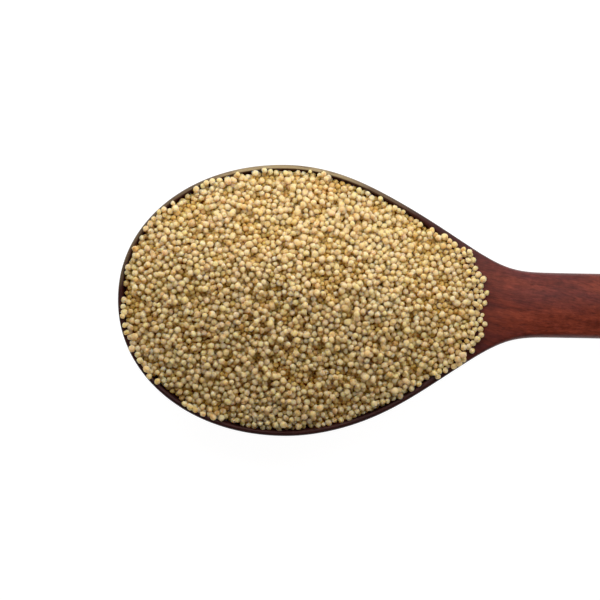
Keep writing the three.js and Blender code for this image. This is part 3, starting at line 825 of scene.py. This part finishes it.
class Ground:
    """Heights on a square grid, read in between by bilinear interpolation, with their slopes."""

    def __init__(self, x0, y0, heights):
        self.x0, self.y0, self.heights = x0, y0, heights
        self.slope_x, self.slope_y = np.gradient(heights, GROUND_PITCH)

    def read(self, grid, places):
        """The value at each place, from the four points of the grid around it."""
        u = np.clip((places[:, 0] - self.x0) / GROUND_PITCH, 0, grid.shape[0] - LAST_CELL)
        v = np.clip((places[:, 1] - self.y0) / GROUND_PITCH, 0, grid.shape[1] - LAST_CELL)
        i, j = u.astype(int), v.astype(int)
        a, b = u - i, v - j
        near = grid[i, j] * (1 - a) + grid[i + 1, j] * a
        far = grid[i, j + 1] * (1 - a) + grid[i + 1, j + 1] * a
        return near * (1 - b) + far * b

    def height(self, places):
        """The ground's height at each place."""
        return self.read(self.heights, places)

    def slopes_below(self, limit):
        """Where on the grid the ground is less steep than the limit."""
        return np.hypot(self.slope_x, self.slope_y) < limit

    def normal(self, places):
        """The unit vector (-dz/dx, -dz/dy, 1) made one long."""
        up = np.stack([-self.read(self.slope_x, places), -self.read(self.slope_y, places),
                       np.ones(len(places))], 1)
        return up / np.linalg.norm(up, axis=1, keepdims=True)


def rolled_over(heights, radius):
    """Where a ball's centre comes to when it touches the ground: for each place, the highest of the
    ground's heights around it plus the ball's height there, sqrt(rr - dd)."""
    reach = int(radius / GROUND_PITCH)
    padded = np.pad(heights, reach, mode="edge")
    centre = np.full_like(heights, -1)
    for i in range(-reach, reach + 1):
        for j in range(-reach, reach + 1):
            rest = radius ** 2 - (i * i + j * j) * GROUND_PITCH ** 2
            if rest < 0:
                continue
            moved = padded[reach + i:reach + i + heights.shape[0], reach + j:reach + j + heights.shape[1]]
            centre = np.maximum(centre, moved + math.sqrt(rest))
    return centre


def close_pairs(places, reach):
    """All pairs of places nearer than reach. The places are sorted into cubic cells of that size, and
    each cell is compared with itself and with the 13 cells after it."""
    cell = np.floor((places - places.min(0)) / reach).astype(np.int64) + 1
    span = cell.max(0) + 2
    key = (cell[:, 0] * span[1] + cell[:, 1]) * span[2] + cell[:, 2]
    order = np.argsort(key, kind="stable")
    ordered = key[order]
    firsts, seconds = [], []
    for a, b, c in NEIGHBOUR_CELLS:
        wanted = key + (a * span[1] + b) * span[2] + c
        start = np.searchsorted(ordered, wanted, "left")
        count = np.searchsorted(ordered, wanted, "right") - start
        first = np.repeat(np.arange(len(key)), count)
        place = np.repeat(start - np.cumsum(count) + count, count) + np.arange(count.sum())
        second = order[place]
        keep = first < second if (a, b, c) == (0, 0, 0) else slice(None)
        firsts.append(first[keep])
        seconds.append(second[keep])
    first, second = np.concatenate(firsts), np.concatenate(seconds)
    near = ((places[first] - places[second]) ** 2).sum(1) < reach ** 2
    return first[near], second[near]


def push_apart(places, radii, first, second):
    """Moves each grain away from its neighbours by the mean of half its overlaps with them, times PUSH."""
    apart = places[first] - places[second]
    distance = np.maximum(TINY, np.linalg.norm(apart, axis=1))
    overlap = radii[first] + radii[second] - distance
    touching = overlap > 0
    first, second = first[touching], second[touching]
    push = apart[touching] * (overlap[touching] / distance[touching] / 2)[:, None]
    count = np.bincount(first, minlength=len(places)) + np.bincount(second, minlength=len(places))
    moves = [np.bincount(first, p, len(places)) - np.bincount(second, p, len(places)) for p in push.T]
    return places + np.stack(moves, 1) * (PUSH / np.maximum(1, count))[:, None]


def settle(places, radii, ground, heap, steps):
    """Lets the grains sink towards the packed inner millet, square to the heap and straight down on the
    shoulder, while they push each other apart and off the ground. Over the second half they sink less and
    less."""
    mean = radii.mean()
    for step in range(steps):
        if step % STEPS_PER_SEARCH == 0:
            first, second = close_pairs(places, 2 * radii.max() * PAIR_REACH)
        pull = heap.normal(places) * (FALL * min(1, 2 - 2 * step / steps))
        pull[:, :2] *= 1 - ease(places[:, :1], SHOULDER)
        places = places - pull
        for _ in range(PUSHES_PER_STEP):
            places = off_the_ground(push_apart(places, radii, first, second), radii - mean, ground)
    return places


def off_the_ground(places, extra, ground):
    """Moves each place that is under the ground, raised by extra, out of it and square to it."""
    up = ground.normal(places)
    sunk = (ground.height(places) + extra - places[:, 2]) * up[:, 2]
    return places + up * np.maximum(0, sunk)[:, None]


def over_grains(ground, places, radii, radius):
    """Where the centre of a falling grain comes to: over each lying grain, its centre's height plus
    sqrt(RR - dd), where R is the sum of both radii and d the distance seen from above."""
    reach = int((radii.max() + radius) / GROUND_PITCH) + 1
    step = np.arange(-reach, reach + 1)
    i = np.round((places[:, 0] - ground.x0) / GROUND_PITCH).astype(int)[:, None, None] + step[:, None]
    j = np.round((places[:, 1] - ground.y0) / GROUND_PITCH).astype(int)[:, None, None] + step
    i, j = np.broadcast_arrays(i, j)
    apart = ((ground.x0 + i * GROUND_PITCH - places[:, 0, None, None]) ** 2
             + (ground.y0 + j * GROUND_PITCH - places[:, 1, None, None]) ** 2)
    rest = (radii[:, None, None] + radius) ** 2 - apart
    rows, columns = ground.heights.shape
    inside = (rest > 0) & (i >= 0) & (i < rows) & (j >= 0) & (j < columns)
    centre = (places[:, 2, None, None] + np.sqrt(np.maximum(0, rest)))[inside]
    heights = ground.heights.copy()
    np.maximum.at(heights, (i[inside], j[inside]), centre)
    return heights


def shower(places, radii, ground, heap, chance, count, radius, random):
    """Drops grains on the others. Each rolls downhill until the slope is gentle enough to hold it, and is
    taken away again where it would stand up out of the heap."""
    heights = over_grains(ground, places, radii, radius)
    surface = Ground(ground.x0, ground.y0, heights)
    chosen = random.choice(chance.size, count, p=chance.ravel() / chance.sum())
    i, j = np.unravel_index(chosen, chance.shape)
    fallen = np.stack([ground.x0 + i * GROUND_PITCH, ground.y0 + j * GROUND_PITCH, np.zeros(count)], 1)
    for _ in range(ROLL_STEPS):
        slope = np.stack([surface.read(surface.slope_x, fallen), surface.read(surface.slope_y, fallen)], 1)
        steepness = np.linalg.norm(slope, axis=1, keepdims=True)
        fallen[:, :2] -= ROLL * slope / np.maximum(1, steepness) * (steepness > STEADY_SLOPE)
    fallen[:, 2] = surface.height(fallen)
    _, second = close_pairs(fallen, FALLEN_APART * radius)
    keep = np.ones(count, bool)
    keep[second] = False
    highest = np.minimum(heap.height(fallen) + PROUD * radius, HEAP_HIGH.z - LONGEST * radius)
    return fallen[keep & (fallen[:, 2] < highest)]


def lie_of_the_land(spoon, sizes):
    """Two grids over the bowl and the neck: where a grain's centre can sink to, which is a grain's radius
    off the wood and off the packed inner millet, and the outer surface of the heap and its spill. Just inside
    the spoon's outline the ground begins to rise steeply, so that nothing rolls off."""
    s = spoon.s
    x = np.arange(-s.bowl_front - GROUND_MARGIN, GROUND_BACK, GROUND_PITCH)
    y = np.arange(-s.bowl_half_width - GROUND_MARGIN, s.bowl_half_width + GROUND_MARGIN, GROUND_PITCH)
    grid_x, grid_y = np.meshgrid(x, y, indexing="ij")
    across = grid_y - spoon.centre_line(grid_x)
    margin = mix(RIM_MARGIN, np.where(across > 0, *NECK_MARGINS), ease(grid_x, NECK_MARGINS_START))
    beyond = np.maximum(0, np.abs(across) - spoon.half_width(grid_x) + margin)
    wood = spoon.top(grid_x, across - np.sign(across) * beyond) + FENCE * beyond
    heap = HeapForm(spoon, sizes).top_at(grid_x, across)
    lowest = rolled_over(wood, sizes.grain / 2)
    lowest = np.maximum(lowest, heap - sizes.loose_depth + sizes.grain / 2)
    out = np.hypot((grid_x - SPILL_MIDDLE[0]) / SPILL_REACH[0], (grid_y - SPILL_MIDDLE[1]) / SPILL_REACH[1])
    spill = spoon.top_line(grid_x) + SPILL_HEIGHT * hump(out, SPILL_POWERS)
    return Ground(x[0], y[0], lowest), Ground(x[0], y[0], np.maximum(heap, spill))


def loose_grains(spoon, sizes, random):
    """Places, radii and depths in the heap of the loose grains. As many as fill the space between the two
    grids are strewn in it at random, and then settle. The last ones fall on top of them."""
    ground, heap = lie_of_the_land(spoon, sizes)
    radius = sizes.grain / 2
    over_rim = heap.heights - spoon.s.rim_height
    room = heap.heights - radius - ground.heights - np.clip(over_rim, 0, sizes.shower * sizes.grain)
    inside = (room > 0) & ground.slopes_below(FENCE / 2)
    chance = (room + EXTRA_DEPTH * radius) * inside
    volume = chance.sum() * GROUND_PITCH ** 2
    count = int(sizes.fill * volume / (4 / 3 * np.pi * radius ** 3))
    chosen = random.choice(chance.size, count, p=chance.ravel() / chance.sum())
    i, j = np.unravel_index(chosen, chance.shape)
    places = np.stack([ground.x0 + i * GROUND_PITCH, ground.y0 + j * GROUND_PITCH,
                       ground.heights[i, j] + random.uniform(0, 1, count) * room[i, j]], 1)
    places[:, :2] += random.uniform(-0.5, 0.5, (count, 2)) * GROUND_PITCH
    radii = random_radii(count, sizes, random)
    places = settle(places, radii, ground, heap, sizes.settling)
    strays = np.array([(x * MM, y * MM, 0) for x, y in STRAYS] + rim_grains(spoon, random))
    strays[:, 2] = ground.height(strays)
    radii = np.append(radii, random_radii(len(strays), sizes, random))
    places = np.concatenate([places, strays])
    falling = int(sizes.shower * inside.sum() * GROUND_PITCH ** 2 / (np.pi * radius ** 2) / SHOWERS)
    for _ in range(SHOWERS):
        fallen = shower(places, radii, ground, heap, inside * 1.0, falling, radius, random)
        radii = np.append(radii, random_radii(len(fallen), sizes, random))
        places = np.concatenate([places, fallen])
    first, second = close_pairs(places, 2 * radii.max() * PAIR_REACH)
    for _ in range(LAST_PUSHES):
        places = off_the_ground(push_apart(places, radii, first, second), radii - radius, ground)
    places[:, 2] = np.minimum(places[:, 2], HEAP_HIGH.z - LONGEST * radii)
    return places, radii, heap.height(places) - places[:, 2]


def rim_grains(spoon, random):
    """Random places round the front: points of the outline, drawn in towards the origin."""
    angle = random.uniform(-1, 1, RIM_GRAINS) * RIM_GRAINS_ROUND
    x = -spoon.s.bowl_front * np.cos(angle)
    y = spoon.half_width(x) * np.sign(angle)
    inward = 1 - random.uniform(*RIM_GRAINS_IN, RIM_GRAINS) / np.hypot(x, y)
    return list(zip(x * inward, y * inward, np.zeros(RIM_GRAINS)))


def random_radii(count, sizes, random):
    """Half the mean diameter times a number from a bell curve about 1, within limits."""
    return sizes.grain / 2 * np.clip(random.normal(1, sizes.spread, count), *RADIUS_LIMITS)


# ---- Loose grains: their shape ----

FINE_SIDE, COARSE_SIDE = 3, 2              # faces along a side of the cube that a grain is rounded from
SHOWING_DEPTH = 1.15                       # grains less deep than this many diameters are fine
SHARES = {"golden": 0.48, "cream": 0.18, "green": 0.2, "rosy": 0.1, "amber": 0.04}
COLOUR_WANDER = (0.01, 0.01, 0.03)         # how much the grains differ in red, green and blue,
LIGHT_WANDER = 0.035                       # and in all three together
COLOUR_LIMITS = (0.02, 0.9)
SHADE_DEPTHS, DEPTH_SHADE_TINT = (1.1 * MM, 2.6 * MM), (0.84, 0.69, 0.37)     # painted shade: grains turn darker and browner between these depths
PATCH_INSET, GRAIN_INSET = 0.06, 0.04      # free edge round a patch, and round a grain, on the map

# A grain against a ball: how much the grains differ in length and width, and the most that one is longer
LENGTH_SPREAD, WIDTH_SPREAD, MOST_LONGER = 0.13, 0.05, 0.3
GERM_END, GERM_POWER, FLAT_END, FLAT_POWER = 0.07, 6, 0.06, 4    # how far each end moves, and its power
DENT, DENTS_ACROSS = 0.075, 2.2            # depth of the wave and how fast it runs
GERM_START = 0.55                          # how far out along the grain the germ begins


def rounded_cube(side):
    """A ball of six square patches. Each patch's points lie at equal angles, made one long.

    Returns the points, the faces' corners, and for each corner its place on a map on which the six
    patches lie side by side, three by two.
    """
    angle = np.tan(np.linspace(-np.pi / 4, np.pi / 4, side + 1))
    u, v = np.meshgrid(angle, angle, indexing="ij")
    one = np.ones_like(u)
    patches = np.array([[one, u, v], [-one, v, u], [v, one, u], [u, -one, v], [u, v, one], [v, u, -one]])
    points = patches.transpose(0, 2, 3, 1).reshape(-1, 3)
    points /= np.linalg.norm(points, axis=1, keepdims=True)
    places, index = np.unique(np.round(points, 6), axis=0, return_inverse=True)
    start = (np.arange(side)[:, None] * (side + 1) + np.arange(side)).ravel()
    quad = np.stack([start, start + side + 1, start + side + 2, start + 1], 1)
    patch = np.arange(6)[:, None, None]
    corners = (quad + patch * (side + 1) ** 2).reshape(-1, 4)
    on_patch = np.stack(np.divmod(corners % (side + 1) ** 2, side + 1), -1) / side
    number = corners // (side + 1) ** 2
    on_patch = mix(PATCH_INSET, 1 - PATCH_INSET, on_patch)
    spots = (np.stack([number % 3, number // 3], -1) + on_patch) / (3, 2)
    return places, index.ravel()[corners], spots


def turns_of(count, random):
    """Random rotations as 3 by 3 matrices, from random unit quaternions."""
    q = random.normal(size=(count, 4))
    w, x, y, z = (q / np.linalg.norm(q, axis=1, keepdims=True)).T
    return np.stack([
        1 - 2 * (y * y + z * z), 2 * (x * y - w * z), 2 * (x * z + w * y),
        2 * (x * y + w * z), 1 - 2 * (x * x + z * z), 2 * (y * z - w * x),
        2 * (x * z - w * y), 2 * (y * z + w * x), 1 - 2 * (x * x + y * y)], 1).reshape(-1, 3, 3)


def grain_points(ball, places, radii, random):
    """Grains of millet: balls a little longer along their own z than across, drawn out to the germ end,
    flattened at the other, and dented by a slow wave in a random direction. Also gives how near each
    point is to the germ."""
    count, height = len(places), ball[:, 2]
    lengthwise = 1 + np.minimum(MOST_LONGER, np.abs(random.normal(0, LENGTH_SPREAD, count)))
    across = random.normal(1.0, WIDTH_SPREAD, (2, count))
    stretch = np.stack([across[0], across[1], lengthwise], 1)
    end = GERM_END * np.clip(height, 0, 1) ** GERM_POWER - FLAT_END * np.clip(-height, 0, 1) ** FLAT_POWER
    way = random.normal(size=(count, 3)) * DENTS_ACROSS
    wave = DENT * np.sin(way @ ball.T + random.uniform(0, 2 * np.pi, (count, 1)))
    out = (1 + end + wave)[..., None] * ball * stretch[:, None]
    turned = np.einsum("nij,nvj->nvi", turns_of(count, random), out)
    germ = np.clip((height - GERM_START) / (1 - GERM_START), 0, 1)
    return turned * radii[:, None, None] + places[:, None], np.broadcast_to(germ, (count, len(ball)))


def pile(name, batches, colours, random, material):
    """One piece of many grains. batches holds (ball, places, radii), and colours one colour for each grain.
    Every grain gets a square of its own on the piece's map."""
    squares = math.ceil(math.sqrt(len(colours)))
    points, corners, spots, tints_and_shade, germs = [], [], [], [], []
    first_grain, first_point = 0, 0
    for (ball, faces, on_ball), places, radii in batches:
        made, germ = grain_points(ball, places, radii, random)
        number = np.arange(len(places))
        points.append(made.reshape(-1, 3))
        germs.append(germ.ravel())
        tints_and_shade.append(np.repeat(colours[first_grain + number], len(ball), axis=0))
        corners.append((faces + (first_point + number * len(ball))[:, None, None]).ravel())
        square = np.stack(np.divmod(first_grain + number, squares), -1)[:, None, None]
        spots.append(((square + mix(GRAIN_INSET, 1 - GRAIN_INSET, on_ball)) / squares).reshape(-1, 2))
        first_grain += len(places)
        first_point += len(points[-1])
    corners = np.concatenate(corners)
    piece = new_piece(name, np.concatenate(points), corners, np.full(len(corners) // 4, 4), material)
    colour_points(piece, GRAIN_COLOUR_AND_SHADE, np.concatenate(tints_and_shade))
    number_points(piece, GERM, np.concatenate(germs))
    layer = piece.data.uv_layers.new(name="OFBake")
    layer.uv.foreach_set("vector", np.concatenate(spots).astype(np.float32).ravel())
    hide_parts("millet_heap")


def wandering_with_depth_shade(colour, depth, random):
    """Each grain's colour: the kind's own, with its channels and its lightness moved a little at random.
    Grains that lie deeper in the heap are painted darker and browner: a painted shade for the gaps between
    the top grains."""
    channels = random.normal(1, COLOUR_WANDER, (len(depth), 3))
    lightness = np.exp(random.normal(0, LIGHT_WANDER, (len(depth), 1)))
    # painted shade on the deeper grains
    depth_shade = mix(1, np.array(DEPTH_SHADE_TINT), ease(depth, SHADE_DEPTHS)[:, None])
    return np.clip(np.array(colour) * channels * lightness * depth_shade, *COLOUR_LIMITS)


class MILLET_OT_pour_millet(bpy.types.Operator):
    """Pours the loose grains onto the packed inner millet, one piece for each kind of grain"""

    bl_idname = "millet.pour_millet"
    bl_label = "Pour the Millet"

    def execute(self, context):
        scene = context.scene
        sizes, colours = scene.millet_heap, scene.millet_colours
        random = np.random.default_rng(sizes.seed + 1)
        places, radii, depth = loose_grains(SpoonForm(scene.millet_spoon), sizes, random)
        kinds = random.choice(len(SHARES), len(places), p=list(SHARES.values()))
        fine, coarse = rounded_cube(FINE_SIDE), rounded_cube(COARSE_SIDE)
        shows = depth < SHOWING_DEPTH * sizes.grain
        for number, kind in enumerate(SHARES):
            chosen = [np.flatnonzero(shown & (kinds == number)) for shown in (shows, ~shows)]
            lots = zip((fine, coarse), chosen)
            batches = [(ball, places[grains], radii[grains]) for ball, grains in lots]
            tints_and_shade = wandering_with_depth_shade(getattr(colours, kind), depth[np.concatenate(chosen)], random)
            material = millet_material(f"{kind}_millet", GRAIN_ROUGHNESS)
            pile(f"millet_{kind}", batches, tints_and_shade, random, material)
        return {"FINISHED"}


# ---- Stage ----

PICTURE = 600              # pixels along a side
SENSOR = 36.0              # width in millimetres, in which a camera's lens is given too
VIEW_CENTRE = (4.13 * MM, 0.18 * MM)       # what lies at the middle of the picture
SOFT_TONES = 1.12          # gamma of the picture, which softens its contrast
FLOOR_HALF_WIDTH, FLOOR_GREY, FLOOR_GLOW = 1.5, 0.2, 0.97
KEY_DIRECTION, KEY_LENGTH, KEY_WIDTH, KEY_DISTANCE = (0.12, 0.8, 1.0), 0.3, 0.18, 0.14
SIDE_DIRECTIONS, SIDE_SIZE, SIDE_DISTANCE = ((-1.0, 0.3, 1.0), (1.0, 0.3, 1.0)), 0.4, 0.7
WHITE, WARM = (1.0, 1.0, 1.0), (1.0, 0.82, 0.7)


def area_light(name, direction, length, width, distance, power, colour):
    """An oblong light at this distance along a direction, turned to shine at the bowl."""
    data = bpy.data.lights.new(name, "AREA")
    data.shape = "RECTANGLE"
    data.size, data.size_y, data.energy, data.color = length, width, power, colour
    light = add_object(name, data)
    light.location = tuple(np.array(direction) / np.linalg.norm(direction) * distance)
    light.rotation_euler = light.location.to_track_quat("Z", "Y").to_euler()


def pale_floor():
    """A flat square at z = 0 that gives light of its own, like a light table."""
    material, tree, shader = new_material("pale_floor")
    feed_inputs(tree, shader, Base_Color=(FLOOR_GREY, FLOOR_GREY, FLOOR_GREY, 1), Roughness=0.9,
                Specular_IOR_Level=0.1, Emission_Color=(*WHITE, 1), Emission_Strength=FLOOR_GLOW)
    mesh = bpy.data.meshes.new("floor")
    w = FLOOR_HALF_WIDTH
    mesh.from_pydata([(-w, -w, 0), (w, -w, 0), (w, w, 0), (-w, w, 0)], [], [(0, 1, 2, 3)])
    mesh.materials.append(material)
    floor = add_object("floor", mesh)


def overhead_camera(sizes, rim_height):
    """A camera straight above, with the lens that gives the pixel its size at the rim."""
    data = bpy.data.cameras.new("camera")
    data.sensor_width = SENSOR
    data.lens = SENSOR * sizes.distance / (PICTURE * sizes.pixel)
    camera = add_object("camera", data)
    place = Matrix.Translation((*VIEW_CENTRE, rim_height + sizes.distance))
    camera.matrix_world = place @ Matrix.Rotation(sizes.roll, 4, "Z")
    bpy.context.scene.camera = camera


class MILLET_OT_set_stage(bpy.types.Operator):
    """Sets the floor, the lights and the camera"""

    bl_idname = "millet.set_stage"
    bl_label = "Set the Stage"

    def execute(self, context):
        scene = context.scene
        sizes = scene.millet_stage
        pale_floor()
        area_light("key", KEY_DIRECTION, KEY_LENGTH, KEY_WIDTH, KEY_DISTANCE, sizes.key, WHITE)
        for direction in SIDE_DIRECTIONS:
            area_light("side", direction, SIDE_SIZE, SIDE_SIZE, SIDE_DISTANCE, sizes.side, WARM)
        scene.world = bpy.data.worlds.new("room")
        scene.world.use_nodes = True
        room = scene.world.node_tree.nodes["Background"]
        feed_inputs(scene.world.node_tree, room, Color=(*WARM, 1), Strength=sizes.room)
        scene.view_settings.view_transform = "Standard"
        scene.view_settings.gamma = SOFT_TONES
        overhead_camera(sizes, scene.millet_spoon.rim_height)
        return {"FINISHED"}


class MILLET_PT_spoon(bpy.types.Panel):
    """Lists the sizes, the colours and the steps"""

    bl_label = "Spoon of Millet"
    bl_space_type = "VIEW_3D"
    bl_region_type = "UI"
    bl_category = "Millet"

    def draw(self, context):
        layout = self.layout
        for title, group, operators in SECTIONS:
            layout.label(text=title)
            for name in getattr(context.scene, group).bl_rna.properties.keys():
                if name not in ("rna_type", "name"):
                    layout.prop(getattr(context.scene, group), name)
            for operator in operators:
                layout.operator(operator.bl_idname)


SECTIONS = [
    ("Spoon", "millet_spoon", [MILLET_OT_carve_spoon]),
    ("Heap", "millet_heap", [MILLET_OT_pack_inner_millet, MILLET_OT_pour_millet]),
    ("Colours", "millet_colours", []),
    ("Stage", "millet_stage", [MILLET_OT_set_stage]),
]
GROUPS = {
    "millet_spoon": SpoonSizes,
    "millet_heap": HeapSizes,
    "millet_colours": Colours,
    "millet_stage": StageSizes,
}
OPERATORS = [operator for _, _, operators in SECTIONS for operator in operators]
CLASSES = [*GROUPS.values(), *OPERATORS, MILLET_PT_spoon]


def register():
    """Makes the classes known to Blender, and gives each scene its property groups."""
    for new_class in CLASSES:
        bpy.utils.register_class(new_class)
    for name, group in GROUPS.items():
        setattr(bpy.types.Scene, name, PointerProperty(type=group))


def unregister():
    """Takes back what register did."""
    for name in GROUPS:
        delattr(bpy.types.Scene, name)
    for new_class in reversed(CLASSES):
        bpy.utils.unregister_class(new_class)


def main():
    """Runs the steps in order."""
    register()
    bpy.ops.millet.carve_spoon()
    bpy.ops.millet.pack_inner_millet()
    bpy.ops.millet.pour_millet()
    bpy.ops.millet.set_stage()
    bpy.context.view_layer.update()


if __name__ == "__main__":
    main()
